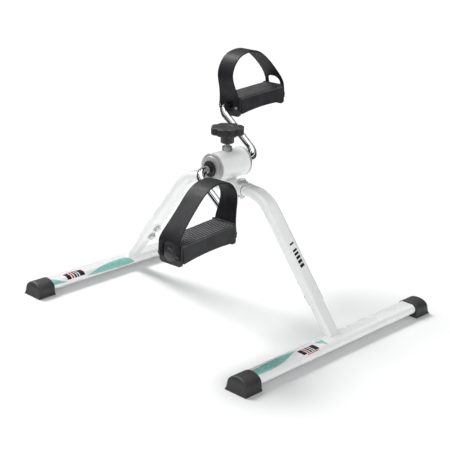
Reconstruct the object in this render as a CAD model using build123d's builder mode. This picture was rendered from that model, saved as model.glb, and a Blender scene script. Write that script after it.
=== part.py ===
"""Pedal exerciser: a free-standing frame, a friction-braked crank and two strapped pedals.

Millimetres. +X runs along the hub and the floor bars, +Y from one floor bar to the other, +Z up.
The origin is on the floor, under the middle of the hub.
"""

import os
from math import cos, radians, sin, tan

from build123d import *

# ---- driving dimensions ----
BAR_LENGTH = 400.0  # over the foot caps
BAR_SPACING = 437.0  # between the two bars' centre lines
BAR_WIDTH, BAR_HEIGHT, BAR_WALL = 30.0, 15.0, 1.5
BAR_CLEARANCE = 5.0  # floor to the underside of the bar

CAP_LENGTH, CAP_HEIGHT = 31.5, 22.9
CAP_BASE_WIDTH, CAP_TOP_WIDTH = 38.2, 34.4
CAP_LIP = 1.6  # height of the flared lip at the cap's foot
CAP_END_WALL = 4.0

HUB_HEIGHT = 220.5  # floor to the crank's axis
HUB_RADIUS, HUB_WALL, HUB_LENGTH = 21.5, 2.0, 56.0

LEG_ANGLE = 38.4  # the legs' slant from the vertical
LEG_WIDTH, LEG_DEPTH, LEG_WALL = 27.0, 14.0, 1.4
LEG_BEND = 50.0  # radius of the bend's centre line
SLEEVE_LENGTH, SLEEVE_WALL = 82.0, 1.4
SLEEVE_NEST = 1.0  # how far the hub beds into the sleeve
FIT = 0.1  # radial clearance of one tube inside another
SEAM_HEIGHT = 58.4  # the leg tube's lower end, on its centre line
STUB_TOP_HEIGHT = 99.0
LEG_BOLT_HEIGHTS = (69.3, 85.9)
SLEEVE_BOLT_REACH = 31.5  # from the hub to each upright bolt

BOLT_RADIUS, BOLT_HOLE_RADIUS = 3.0, 3.2
BOLT_HEAD_FLATS, BOLT_HEAD_HEIGHT = 10.0, 4.2
WASHER_THICKNESS = 1.3
NUT_HEIGHT = 5.2

ROD_RADIUS = 6.0
ROD_BEND = 19.0
RUNNING = 0.08  # radial clearance of a running fit
ARM_PLANE = 64.0  # middle of the crank to each arm, along X
CRANK_OFFSET = 1.0  # how far the middle of the crank lies to +X of the hub's
ARM_LENGTH = 100.0
ARM_ANGLE = 53.1  # the +X arm's slant from the vertical, towards +Y
AXLE_SPLAY = 4.0  # each pedal axle turns this much away from the hub's axis
AXLE_LENGTH = 129.5  # arm to the axle's end

DISC_RADIUS, DISC_THICKNESS = 21.9, 3.5
DISC_BOSS_RADIUS, DISC_BOSS_LENGTH = 18.4, 3.0
DISC_PLUG_LENGTH = 6.0
BUSH_RADIUS, BUSH_FLANGE_RADIUS, BUSH_FLANGE = 9.0, 12.2, 1.5

SCREW_RADIUS = 4.0
KNOB_RADIUS, KNOB_VALLEY_RADIUS, KNOB_LOBES = 24.4, 4.0, 8
KNOB_HEIGHT = 11.0
KNOB_BASE = HUB_HEIGHT + 46.5
COLLAR_RADIUS, COLLAR_BASE = 10.0, HUB_HEIGHT + 35.5
WELD_NUT_FLATS, WELD_NUT_TOP = 13.0, HUB_HEIGHT + 28.0
DRUM_RADIUS, DRUM_LENGTH = 10.0, 36.0
SHOE_GAP = 1.95  # brake shoe to friction drum with the knob as stored
SHOE_TOP, SHOE_LENGTH, SHOE_WIDTH = 15.2, 26.0, 15.0

BODY_START, BODY_END = 25.4, 126.3  # the pedal's tread block, measured along the axle
TREAD_WIDTH, TREAD_HEIGHT, TREAD_BEVEL = 41.0, 14.2, 1.6  # height above the axle
BASE_WIDTH, BASE_DEPTH, BASE_ARCH = 44.0, 11.6, 3.0  # depth below the axle
PEDAL_WALL = 2.6
RIB_COUNT, RIB_HEIGHT = 9, 1.2
PLATE_GAP, PLATE_THICKNESS = 0.6, 3.2
PLATE_HALF_WIDTH, PLATE_TOP, PLATE_BOTTOM, PLATE_CORNER = 20.6, 15.0, -16.3, 6.0
INNER_HOLE_RADIUS = 10.5
STUD_RADIUS, STUD_OFFSET, STUD_DROP, STUD_HEIGHT = 2.2, 16.8, -1.0, 4.6
CAP_DOME_RADIUS, CAP_DOME_HEIGHT = 12.0, 5.0
PUSH_NUT_RADIUS, PUSH_NUT_THICKNESS = 9.5, 1.6

STRAP_THICKNESS = 2.0
STRAP_TOP_WIDTH, STRAP_FOOT_WIDTH = 30.0, 40.4
STRAP_PEAK = 78.0  # the band's middle, above the axle
STRAP_FOOT = -6.0
WINDOW_WIDTH, WINDOW_TOP, HOLE_TOP = 24.0, 25.5, 11.0

# ---- derived places ----
BAR_MIDDLE = BAR_CLEARANCE + BAR_HEIGHT / 2
SLEEVE_WIDTH = LEG_WIDTH + 2 * (FIT + SLEEVE_WALL)
SLEEVE_DEPTH = LEG_DEPTH + 2 * (FIT + SLEEVE_WALL)
SLEEVE_MIDDLE = HUB_HEIGHT - HUB_RADIUS + SLEEVE_NEST - SLEEVE_DEPTH / 2
STUB_WIDTH = LEG_WIDTH - 2 * (LEG_WALL + FIT)
STUB_DEPTH = LEG_DEPTH - 2 * (LEG_WALL + FIT)
LEG_REFERENCE = 196.0  # the legs' |Y| at the reference height
LEG_REFERENCE_HEIGHT = 40.0
SLANT = radians(LEG_ANGLE)
ARM = radians(ARM_ANGLE)
SPLAY = radians(AXLE_SPLAY)
HUB_CENTRE = Vector(0, 0, HUB_HEIGHT)
CRANK_CENTRE = Vector(CRANK_OFFSET, 0, HUB_HEIGHT)
ARM_DIRECTION = Vector(0, sin(ARM), cos(ARM))
SIDES = {"near": -1, "far": 1}


def leg_reach(height):
    """|Y| of a leg's centre line at this height."""
    return LEG_REFERENCE - (height - LEG_REFERENCE_HEIGHT) * tan(SLANT)


def write(part, name):
    """Labels a finished piece and writes its own STEP file."""
    part.label = name
    export_step(part, f"parts/{name}.step")


def flat_oval(width, height):
    """A tube outline with full-round edges, drawn in the sketch that is open."""
    SlotOverall(width, height)


def across_x(y, z):
    """A plane square to Y, with sketch x along +X and sketch y upwards."""
    return Plane(origin=(0, y, z), x_dir=(1, 0, 0), z_dir=(0, -1, 0))


def leg_section(side, height):
    """A plane square to a leg, centred on its centre line; the normal points up the leg."""
    up_the_leg = (0, -side * sin(SLANT), cos(SLANT))
    return Plane(origin=(0, side * leg_reach(height), height), x_dir=(1, 0, 0), z_dir=up_the_leg)


def leg_bolt_planes(side):
    """Planes on a leg's inner face at its bolts; the normal points out of that face."""
    planes = []
    for height in LEG_BOLT_HEIGHTS:
        section = leg_section(side, height)
        inward = -section.y_dir if side * section.y_dir.Y > 0 else section.y_dir
        planes.append(Plane(origin=section.origin + inward * (LEG_DEPTH / 2), x_dir=(1, 0, 0), z_dir=inward))
    return planes


def sleeve_bolt_planes():
    """Upward planes on the sleeve's top at its two bolts."""
    top = SLEEVE_MIDDLE + SLEEVE_DEPTH / 2
    return [Plane.XY.offset(top).move(Location((0, y, 0))) for y in (-SLEEVE_BOLT_REACH, SLEEVE_BOLT_REACH)]


def pedal_frame(side):
    """The pedal's own frame: x outwards along its axle from the arm, z up, y across the tread."""
    arm = ARM_DIRECTION * side
    outward = Vector(side, 0, 0) * cos(SPLAY) + arm * sin(SPLAY)
    upward = Vector(0, 0, 1) - outward * outward.Z
    corner = CRANK_CENTRE + Vector(side * ARM_PLANE, 0, 0) + arm * ARM_LENGTH
    return Plane(origin=corner, x_dir=outward, z_dir=upward.normalized())


def axle_section(frame, distance):
    """A plane square to the axle at this distance from the arm; sketch x across, sketch y up."""
    return Plane(origin=frame.origin + frame.x_dir * distance, x_dir=frame.y_dir, z_dir=frame.x_dir)


def side_plane(frame):
    """The pedal's middle plane; sketch x outwards along the axle, sketch y up."""
    return Plane(origin=frame.origin, x_dir=frame.x_dir, z_dir=-frame.y_dir)


def foot_cap(side, end):
    """A moulded cap with a flared foot and an arched top, bored for the bar."""
    y = side * BAR_SPACING / 2
    open_end = BAR_LENGTH / 2 - CAP_LENGTH
    profile = Plane(origin=(end * open_end, y, 0), x_dir=(0, end, 0), z_dir=(end, 0, 0))
    pocket = Plane(origin=(end * open_end, y, BAR_MIDDLE), x_dir=(0, end, 0), z_dir=(end, 0, 0))
    outline = Plane(origin=(0, y, 0), x_dir=(1, 0, 0), z_dir=(0, -1, 0))
    half_top, half_base = CAP_TOP_WIDTH / 2, CAP_BASE_WIDTH / 2
    shoulder = CAP_HEIGHT / 2
    with BuildPart() as cap:
        with BuildSketch(profile):
            with BuildLine():
                Polyline(
                    (-half_top, shoulder),
                    (-half_top - 0.7, CAP_LIP + 1.2),
                    (-half_base, CAP_LIP),
                    (-half_base, 0),
                    (half_base, 0),
                    (half_base, CAP_LIP),
                    (half_top + 0.7, CAP_LIP + 1.2),
                    (half_top, shoulder),
                )
                EllipticalCenterArc((0, shoulder), half_top, CAP_HEIGHT - shoulder, start_angle=0, arc_size=180)
            make_face()
        extrude(amount=CAP_LENGTH)
        with BuildSketch(outline):
            tip, back = end * BAR_LENGTH / 2, end * open_end
            with BuildLine():
                Polyline(
                    (back, 0),
                    (tip, 0),
                    (tip, CAP_LIP),
                    (tip - end * 0.9, CAP_LIP + 1.2),
                    (tip - end * 2.6, CAP_HEIGHT - 3.4),
                    (tip - end * 5.2, CAP_HEIGHT - 0.2),
                    (tip - end * 8.5, CAP_HEIGHT + 1),
                    (back, CAP_HEIGHT + 1),
                    (back, 0),
                )
            make_face()
        extrude(amount=CAP_BASE_WIDTH, both=True, mode=Mode.INTERSECT)
        with BuildSketch(pocket):
            flat_oval(BAR_WIDTH, BAR_HEIGHT)
        extrude(amount=CAP_LENGTH - CAP_END_WALL, mode=Mode.SUBTRACT)
    return cap.part


def floor_bar(side):
    """A flat-oval tube that ends inside its two caps."""
    section = Plane(origin=(0, side * BAR_SPACING / 2, BAR_MIDDLE), x_dir=(0, 1, 0), z_dir=(1, 0, 0))
    with BuildPart() as bar:
        with BuildSketch(section):
            flat_oval(BAR_WIDTH, BAR_HEIGHT)
            SlotOverall(BAR_WIDTH - 2 * BAR_WALL, BAR_HEIGHT - 2 * BAR_WALL, mode=Mode.SUBTRACT)
        extrude(amount=BAR_LENGTH / 2 - CAP_END_WALL, both=True)
    return bar.part


def leg_stub(side):
    """The short tube welded to a bar, coped to its top, which the leg tube slides over."""
    section = Plane(origin=(0, side * BAR_SPACING / 2, BAR_MIDDLE), x_dir=(0, 1, 0), z_dir=(1, 0, 0))
    length = (STUB_TOP_HEIGHT - BAR_MIDDLE) / cos(SLANT)
    with BuildPart() as stub:
        with BuildSketch(leg_section(side, BAR_MIDDLE)):
            flat_oval(STUB_WIDTH, STUB_DEPTH)
            SlotOverall(STUB_WIDTH - 2 * LEG_WALL, STUB_DEPTH - 2 * LEG_WALL, mode=Mode.SUBTRACT)
        extrude(amount=length)
        with BuildSketch(section):
            flat_oval(BAR_WIDTH, BAR_HEIGHT)
        extrude(amount=LEG_WIDTH, both=True, mode=Mode.SUBTRACT)
        with BuildSketch(*leg_bolt_planes(side)):
            Circle(BOLT_HOLE_RADIUS)
        extrude(amount=-LEG_DEPTH / 2, mode=Mode.SUBTRACT)
    return stub.part


def leg_tube(side):
    """The bent leg, from its lower end over the stub to its upper end inside the sleeve."""
    corner_reach = leg_reach(SLEEVE_MIDDLE)
    with BuildPart() as leg:
        with BuildLine() as path:
            FilletPolyline(
                (0, side * leg_reach(SEAM_HEIGHT), SEAM_HEIGHT),
                (0, side * corner_reach, SLEEVE_MIDDLE),
                (0, side * FIT * 5, SLEEVE_MIDDLE),
                radius=LEG_BEND,
            )
        with BuildSketch(leg_section(side, SEAM_HEIGHT)):
            flat_oval(LEG_WIDTH, LEG_DEPTH)
            SlotOverall(LEG_WIDTH - 2 * LEG_WALL, LEG_DEPTH - 2 * LEG_WALL, mode=Mode.SUBTRACT)
        sweep(path=path.line)
        with BuildSketch(*leg_bolt_planes(side)):
            Circle(BOLT_HOLE_RADIUS)
        extrude(amount=-LEG_DEPTH / 2, mode=Mode.SUBTRACT)
        with BuildSketch(*sleeve_bolt_planes()):
            Circle(BOLT_HOLE_RADIUS)
        extrude(amount=-SLEEVE_DEPTH, mode=Mode.SUBTRACT)
    return leg.part


def hex_bolts(planes, grip):
    """Hex bolts whose heads stand on washers at the planes; grip is the shank below each plane."""
    with BuildPart() as bolts:
        with BuildSketch(*[plane.offset(WASHER_THICKNESS) for plane in planes]):
            RegularPolygon(BOLT_HEAD_FLATS / 2, 6, major_radius=False)
        extrude(amount=BOLT_HEAD_HEIGHT)
        with BuildSketch(*[plane.offset(WASHER_THICKNESS) for plane in planes]):
            Circle(BOLT_RADIUS)
        extrude(amount=-(grip + WASHER_THICKNESS))
    return bolts.part


def washers(planes, radius):
    """Flat washers lying on the planes."""
    with BuildPart() as rings:
        with BuildSketch(*planes):
            Circle(radius)
            Circle(BOLT_HOLE_RADIUS, mode=Mode.SUBTRACT)
        extrude(amount=WASHER_THICKNESS)
    return rings.part


def hex_nuts(planes):
    """Hex nuts that stand on the planes' back faces, with bores as wide as the bolts."""
    with BuildPart() as nuts:
        with BuildSketch(*planes):
            RegularPolygon(BOLT_HEAD_FLATS / 2, 6, major_radius=False)
            Circle(BOLT_RADIUS, mode=Mode.SUBTRACT)
        extrude(amount=-NUT_HEIGHT)
    return nuts.part


def centre_sleeve():
    """The level tube under the hub that takes both legs, with a bed for the hub."""
    with BuildPart() as sleeve:
        with BuildSketch(across_x(0, SLEEVE_MIDDLE)):
            flat_oval(SLEEVE_WIDTH, SLEEVE_DEPTH)
            SlotOverall(LEG_WIDTH + 2 * FIT, LEG_DEPTH + 2 * FIT, mode=Mode.SUBTRACT)
        extrude(amount=SLEEVE_LENGTH / 2, both=True)
        with BuildSketch(Plane.YZ):
            with Locations((0, HUB_HEIGHT)):
                Circle(HUB_RADIUS)
        extrude(amount=HUB_LENGTH / 2, both=True, mode=Mode.SUBTRACT)
        with BuildSketch(*sleeve_bolt_planes()):
            Circle(BOLT_HOLE_RADIUS)
        extrude(amount=-SLEEVE_DEPTH, mode=Mode.SUBTRACT)
    return sleeve.part


def hub_shell():
    """The hub's tube, with a hole in its top for the tension screw."""
    with BuildPart() as shell:
        with BuildSketch(Plane.YZ):
            with Locations((0, HUB_HEIGHT)):
                Circle(HUB_RADIUS)
                Circle(HUB_RADIUS - HUB_WALL, mode=Mode.SUBTRACT)
        extrude(amount=HUB_LENGTH / 2, both=True)
        with BuildSketch(Plane.XY.offset(HUB_HEIGHT)):
            Circle(SCREW_RADIUS + 0.5)
        extrude(amount=HUB_RADIUS + 1, mode=Mode.SUBTRACT)
    return shell.part


def hub_stations(side, distance):
    """A plane square to the hub's axis, its normal pointing out of this end."""
    return Plane(origin=(side * distance, 0, HUB_HEIGHT), x_dir=(0, side, 0), z_dir=(side, 0, 0))


def end_disc(side):
    """A stepped steel disc pressed into the hub's end."""
    face = HUB_LENGTH / 2
    with BuildPart() as disc:
        with BuildSketch(hub_stations(side, face - DISC_PLUG_LENGTH)):
            Circle(HUB_RADIUS - HUB_WALL)
        extrude(amount=DISC_PLUG_LENGTH)
        with BuildSketch(hub_stations(side, face)):
            Circle(DISC_RADIUS)
        extrude(amount=DISC_THICKNESS)
        with BuildSketch(hub_stations(side, face + DISC_THICKNESS)):
            Circle(DISC_BOSS_RADIUS)
        extrude(amount=DISC_BOSS_LENGTH)
        with BuildSketch(hub_stations(side, face - DISC_PLUG_LENGTH)):
            Circle(BUSH_RADIUS)
        extrude(amount=DISC_PLUG_LENGTH + DISC_THICKNESS + DISC_BOSS_LENGTH, mode=Mode.SUBTRACT)
        chamfer(disc.edges().filter_by(GeomType.CIRCLE).filter_by(lambda e: e.radius > DISC_BOSS_RADIUS + 3), 0.6)
    return disc.part


def crank_bush(side):
    """A flanged plain bearing in the end disc, running on the crank."""
    face = HUB_LENGTH / 2
    outer = face + DISC_THICKNESS + DISC_BOSS_LENGTH
    with BuildPart() as bush:
        with BuildSketch(hub_stations(side, face - DISC_PLUG_LENGTH)):
            Circle(BUSH_RADIUS)
        extrude(amount=outer - face + DISC_PLUG_LENGTH)
        with BuildSketch(hub_stations(side, outer)):
            Circle(BUSH_FLANGE_RADIUS)
        extrude(amount=BUSH_FLANGE)
        with BuildSketch(hub_stations(side, face - DISC_PLUG_LENGTH)):
            Circle(ROD_RADIUS + RUNNING)
        extrude(amount=2 * HUB_RADIUS, mode=Mode.SUBTRACT)
    return bush.part


def crank_rod():
    """One round rod bent into both arms and both pedal axles."""
    plane = Plane(origin=CRANK_CENTRE, x_dir=(1, 0, 0), z_dir=Vector(1, 0, 0).cross(ARM_DIRECTION))
    axle_end = (ARM_PLANE + AXLE_LENGTH * cos(SPLAY), ARM_LENGTH + AXLE_LENGTH * sin(SPLAY))
    outer_half = [axle_end, (ARM_PLANE, ARM_LENGTH), (ARM_PLANE, 0)]
    points = outer_half + [(-x, -y) for x, y in reversed(outer_half)]
    with BuildPart() as rod:
        with BuildLine(plane) as path:
            FilletPolyline(*points, radius=ROD_BEND)
        with BuildSketch(Plane(origin=path.line @ 0, z_dir=path.line % 0)):
            Circle(ROD_RADIUS)
        sweep(path=path.line)
    return rod.part


def friction_drum():
    """The nylon sleeve on the crank that the brake shoe presses."""
    with BuildPart() as drum:
        with BuildSketch(Plane.YZ):
            with Locations((0, HUB_HEIGHT)):
                Circle(DRUM_RADIUS)
                Circle(ROD_RADIUS, mode=Mode.SUBTRACT)
        extrude(amount=DRUM_LENGTH / 2, both=True)
    return drum.part


def brake_shoe():
    """A curved pad over the drum, with a pocket for the screw's end."""
    with BuildPart() as shoe:
        with BuildSketch(Plane.XY.offset(HUB_HEIGHT + DRUM_RADIUS - 1)):
            RectangleRounded(SHOE_LENGTH, SHOE_WIDTH, 1.5)
        extrude(amount=SHOE_TOP - DRUM_RADIUS + 1)
        with BuildSketch(Plane.YZ):
            with Locations((0, HUB_HEIGHT + SHOE_GAP)):
                Circle(DRUM_RADIUS + 0.1)
        extrude(amount=SHOE_LENGTH, both=True, mode=Mode.SUBTRACT)
        with BuildSketch(Plane.XY.offset(HUB_HEIGHT + SHOE_TOP)):
            Circle(SCREW_RADIUS + 0.1)
        extrude(amount=-1, mode=Mode.SUBTRACT)
    return shoe.part


def weld_nut():
    """The hex nut welded over the hub's top hole, its foot coped to the shell."""
    with BuildPart() as nut:
        with BuildSketch(Plane.XY.offset(HUB_HEIGHT + HUB_RADIUS - 1.6)):
            RegularPolygon(WELD_NUT_FLATS / 2, 6, major_radius=False)
            Circle(SCREW_RADIUS, mode=Mode.SUBTRACT)
        extrude(amount=WELD_NUT_TOP - HUB_HEIGHT - HUB_RADIUS + 1.6)
        with BuildSketch(Plane.YZ):
            with Locations((0, HUB_HEIGHT)):
                Circle(HUB_RADIUS)
        extrude(amount=HUB_LENGTH / 2, both=True, mode=Mode.SUBTRACT)
    return nut.part


def tension_screw():
    """The threaded stud, from inside the knob to the brake shoe's pocket."""
    foot = HUB_HEIGHT + SHOE_TOP - 0.95
    with BuildPart() as screw:
        with BuildSketch(Plane.XY.offset(foot)):
            Circle(SCREW_RADIUS - RUNNING)
        extrude(amount=KNOB_BASE + KNOB_HEIGHT - 4 - foot)
    return screw.part


def tension_knob():
    """A lobed knob with a collar under it."""
    with BuildPart() as knob:
        with BuildSketch(Plane.XY.offset(KNOB_BASE)):
            Circle(KNOB_RADIUS)
            with PolarLocations(KNOB_RADIUS + 1.6, KNOB_LOBES, start_angle=-2.7):
                Circle(KNOB_VALLEY_RADIUS, mode=Mode.SUBTRACT)
        extrude(amount=KNOB_HEIGHT)
        fillet(knob.faces().sort_by(Axis.Z)[-1].edges(), 1.2)
        with BuildSketch(Plane.XY.offset(COLLAR_BASE)):
            Circle(COLLAR_RADIUS)
        extrude(amount=KNOB_BASE - COLLAR_BASE)
        with BuildSketch(Plane.XY.offset(COLLAR_BASE)):
            Circle(SCREW_RADIUS - RUNNING)
        extrude(amount=KNOB_BASE + KNOB_HEIGHT - 4 - COLLAR_BASE, mode=Mode.SUBTRACT)
    return knob.part


def pedal_body(frame):
    """The tread block: a ribbed top, arched side walls, two end walls and the axle's tube."""
    length = BODY_END - BODY_START
    middle = (BODY_START + BODY_END) / 2
    half_tread, half_base = TREAD_WIDTH / 2, BASE_WIDTH / 2
    inner_width = TREAD_WIDTH - 2 * PEDAL_WALL
    ceiling = TREAD_HEIGHT - RIB_HEIGHT - PEDAL_WALL
    rib_pitch = (TREAD_WIDTH - 6) / (RIB_COUNT - 1)
    with BuildPart() as body:
        with BuildSketch(axle_section(frame, BODY_START)):
            with BuildLine():
                Polyline(
                    (-half_base, -BASE_DEPTH),
                    (half_base, -BASE_DEPTH),
                    (half_tread, TREAD_HEIGHT - RIB_HEIGHT - TREAD_BEVEL),
                    (half_tread - TREAD_BEVEL, TREAD_HEIGHT - RIB_HEIGHT),
                    (-half_tread + TREAD_BEVEL, TREAD_HEIGHT - RIB_HEIGHT),
                    (-half_tread, TREAD_HEIGHT - RIB_HEIGHT - TREAD_BEVEL),
                    close=True,
                )
            make_face()
        extrude(amount=length)
        with BuildSketch(axle_section(frame, BODY_START + PEDAL_WALL)):
            with Locations((0, (ceiling - BASE_DEPTH - 1) / 2)):
                Rectangle(inner_width, ceiling + BASE_DEPTH + 1)
            Circle(ROD_RADIUS + PEDAL_WALL, mode=Mode.SUBTRACT)
        extrude(amount=length - 2 * PEDAL_WALL, mode=Mode.SUBTRACT)
        with BuildSketch(side_plane(frame)):
            with BuildLine():
                Line((BODY_START, -BASE_DEPTH), (BODY_END, -BASE_DEPTH))
                ThreePointArc(
                    (BODY_START, -BASE_DEPTH), (middle, -BASE_DEPTH + BASE_ARCH), (BODY_END, -BASE_DEPTH)
                )
            make_face()
        extrude(amount=BASE_WIDTH, both=True, mode=Mode.SUBTRACT)
        with BuildSketch(axle_section(frame, BODY_START)):
            for rib in range(RIB_COUNT):
                with Locations((rib_pitch * (rib - (RIB_COUNT - 1) / 2), TREAD_HEIGHT - RIB_HEIGHT / 2)):
                    Rectangle(rib_pitch / 2, RIB_HEIGHT)
        extrude(amount=length)
        with BuildSketch(axle_section(frame, BODY_START)):
            Circle(ROD_RADIUS + RUNNING)
        extrude(amount=length, mode=Mode.SUBTRACT)
    return body.part


def end_plate(frame, start, studs_from, studs_towards, hole_radius):
    """A moulded end plate with two studs for the strap and a hole on the axle."""
    with BuildPart() as plate:
        with BuildSketch(axle_section(frame, start)) as outline:
            with Locations((0, (PLATE_TOP + PLATE_BOTTOM) / 2)):
                Rectangle(2 * PLATE_HALF_WIDTH, PLATE_TOP - PLATE_BOTTOM)
            fillet(outline.vertices().group_by(Axis.Y)[0], PLATE_CORNER)
            Circle(hole_radius, mode=Mode.SUBTRACT)
        extrude(amount=PLATE_THICKNESS)
        with BuildSketch(axle_section(frame, studs_from)):
            with Locations((-STUD_OFFSET, STUD_DROP), (STUD_OFFSET, STUD_DROP)):
                Circle(STUD_RADIUS)
        extrude(amount=studs_towards * STUD_HEIGHT)
    return plate.part


def strap_outline(start, end, bow):
    """The band's middle line in the pedal's side plane, from the inner foot over to the outer foot."""
    crown = STRAP_PEAK + bow * 0.25
    return [
        (start, STRAP_FOOT),
        (start, 8),
        (start - 5.2, 33),
        (start - 8.2, 50),
        (start - 3.2, 63.5),
        (start + 10, 75 + bow * 0.1),
        (start + 27, crown),
        (start + 46.5, crown - 3.2 + bow * 0.3),
        (start + 72, 56.5 + bow),
        (start + 96.3, 34 + bow * 0.8),
        (end - 2.6, 21 + bow * 0.3),
        (end, 14.5),
        (end, STRAP_FOOT),
    ]


def pedal_strap(frame, inner_face, outer_face, bow):
    """A moulded band arched over the tread, its feet forked around the axle and held on the studs."""
    half = STRAP_THICKNESS / 2
    start, end = inner_face - half - FIT, outer_face + half + FIT
    points = strap_outline(start, end, bow)
    with BuildPart() as strap:
        with BuildSketch(side_plane(frame)):
            with BuildLine():
                Line(points[0], points[1])
                Spline(*points[1:-1], tangents=[(0, 1), (0, -1)])
                Line(points[-2], points[-1])
            trace(line_width=STRAP_THICKNESS)
        extrude(amount=STRAP_FOOT_WIDTH, both=True)
        with BuildSketch(axle_section(frame, 0)):
            half_top, half_foot = STRAP_TOP_WIDTH / 2, STRAP_FOOT_WIDTH / 2
            with BuildLine():
                Spline(
                    (half_foot, STRAP_FOOT),
                    (half_foot - 1.8, 17),
                    (half_top + 0.9, 35),
                    (half_top, 50),
                    tangents=[(0, 1), (0, 1)],
                )
                Line((half_top, 50), (half_top, STRAP_PEAK + 9))
                Line((half_top, STRAP_PEAK + 9), (0, STRAP_PEAK + 9))
                mirror(about=Plane.YZ)
                Line((half_foot, STRAP_FOOT), (-half_foot, STRAP_FOOT))
            make_face()
        extrude(amount=outer_face + 20, mode=Mode.INTERSECT)
        for station, top in ((0, HOLE_TOP), (outer_face - 20, WINDOW_TOP + bow * 0.35)):
            with BuildSketch(axle_section(frame, station)) as window:
                with Locations((0, (top + STRAP_FOOT - 4) / 2)):
                    Rectangle(WINDOW_WIDTH, top - STRAP_FOOT + 4)
                fillet(window.vertices().group_by(Axis.Y)[-1], WINDOW_WIDTH / 2 - 2)
            extrude(amount=40, mode=Mode.SUBTRACT)
        with BuildSketch(axle_section(frame, 0)):
            with Locations((-STUD_OFFSET, STUD_DROP), (STUD_OFFSET, STUD_DROP)):
                Circle(STUD_RADIUS)
        extrude(amount=outer_face + 20, mode=Mode.SUBTRACT)
    return strap.part


def axle_cap(frame, outer_face):
    """The domed cover over the axle's end."""
    with BuildPart() as dome:
        with BuildSketch(side_plane(frame)):
            with BuildLine():
                Line((outer_face, 0), (outer_face + CAP_DOME_HEIGHT, 0))
                Spline(
                    (outer_face + CAP_DOME_HEIGHT, 0),
                    (outer_face + CAP_DOME_HEIGHT * 0.72, CAP_DOME_RADIUS * 0.62),
                    (outer_face + 1.2, CAP_DOME_RADIUS),
                    tangents=[(0, 1), (-1, 0.6)],
                )
                Polyline(
                    (outer_face + 1.2, CAP_DOME_RADIUS),
                    (outer_face, CAP_DOME_RADIUS),
                    (outer_face, CAP_DOME_RADIUS - 1.4),
                    (outer_face, 0),
                )
            make_face()
        revolve(axis=Axis(frame.origin, frame.x_dir))
    return dome.part


def push_nut(frame, start):
    """The spring ring that keeps the pedal on its axle."""
    with BuildPart() as ring:
        with BuildSketch(axle_section(frame, start)):
            Circle(PUSH_NUT_RADIUS)
            Circle(ROD_RADIUS, mode=Mode.SUBTRACT)
        extrude(amount=PUSH_NUT_THICKNESS)
    return ring.part


def main():
    os.makedirs("parts", exist_ok=True)
    inner_face = BODY_START - PLATE_GAP - PLATE_THICKNESS
    outer_start = BODY_END + PLATE_GAP
    outer_face = outer_start + PLATE_THICKNESS

    for name, side in (("front", -1), ("rear", 1)):
        write(floor_bar(side), f"floor_bar_{name}")
        write(leg_stub(side), f"leg_stub_{name}")
        write(leg_tube(side), f"leg_{name}")
        for end_name, end in SIDES.items():
            write(foot_cap(side, end), f"foot_cap_{name}_{end_name}")

    leg_planes = [plane for side in (-1, 1) for plane in leg_bolt_planes(side)]
    weld_nut_planes = [plane.offset(-2 * LEG_WALL - FIT) for plane in leg_planes]
    write(hex_bolts(leg_planes, LEG_DEPTH * 0.72), "leg_bolts")
    write(washers(leg_planes, 7.0), "leg_bolt_washers")
    write(hex_nuts(weld_nut_planes), "leg_weld_nuts")

    top_planes = sleeve_bolt_planes()
    bottom_planes = [plane.offset(-SLEEVE_DEPTH) for plane in top_planes]
    write(hex_bolts(top_planes, SLEEVE_DEPTH + NUT_HEIGHT + 2), "sleeve_bolts")
    write(washers(top_planes, 8.6), "sleeve_bolt_washers")
    write(hex_nuts(bottom_planes), "sleeve_nuts")

    write(centre_sleeve(), "centre_sleeve")
    write(hub_shell(), "hub_shell")
    write(weld_nut(), "tension_weld_nut")
    write(brake_shoe(), "brake_shoe")
    write(friction_drum(), "friction_drum")
    write(tension_screw(), "tension_screw")
    write(tension_knob(), "tension_knob")
    write(crank_rod(), "crank_rod")

    for name, side in SIDES.items():
        frame = pedal_frame(side)
        write(end_disc(side), f"hub_disc_{name}")
        write(crank_bush(side), f"crank_bush_{name}")
        write(pedal_body(frame), f"pedal_body_{name}")
        write(end_plate(frame, inner_face, inner_face, -1, INNER_HOLE_RADIUS), f"pedal_inner_plate_{name}")
        write(end_plate(frame, outer_start, outer_face, 1, PUSH_NUT_RADIUS + 0.5), f"pedal_outer_plate_{name}")
        write(pedal_strap(frame, inner_face, outer_face, 8.0 if side > 0 else 0.0), f"pedal_strap_{name}")
        write(axle_cap(frame, outer_face), f"pedal_axle_cap_{name}")
        write(push_nut(frame, outer_face - PUSH_NUT_THICKNESS), f"pedal_push_nut_{name}")


main()
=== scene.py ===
"""Pedal exerciser: the looks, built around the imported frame.

Shapes are worked out in millimetres and scaled to metres as each piece is made.
"""
import math

import bmesh
import bpy
import numpy as np
from mathutils import Matrix, Vector

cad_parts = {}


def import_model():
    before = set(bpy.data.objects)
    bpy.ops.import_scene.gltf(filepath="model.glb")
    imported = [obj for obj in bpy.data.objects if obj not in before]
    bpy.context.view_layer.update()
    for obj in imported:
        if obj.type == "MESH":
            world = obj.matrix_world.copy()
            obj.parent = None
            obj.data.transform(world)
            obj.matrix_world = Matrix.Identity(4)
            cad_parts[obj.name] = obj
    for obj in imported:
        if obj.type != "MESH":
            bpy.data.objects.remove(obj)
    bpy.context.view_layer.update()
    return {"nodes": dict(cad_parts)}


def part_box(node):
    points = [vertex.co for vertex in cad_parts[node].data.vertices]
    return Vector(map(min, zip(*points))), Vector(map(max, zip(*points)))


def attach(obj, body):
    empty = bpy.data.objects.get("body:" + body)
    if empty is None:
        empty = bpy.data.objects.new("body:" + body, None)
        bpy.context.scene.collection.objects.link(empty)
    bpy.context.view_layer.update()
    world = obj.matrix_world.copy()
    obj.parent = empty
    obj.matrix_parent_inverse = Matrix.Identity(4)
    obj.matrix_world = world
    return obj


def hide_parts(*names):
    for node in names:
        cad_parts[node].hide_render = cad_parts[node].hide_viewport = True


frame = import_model()

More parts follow.
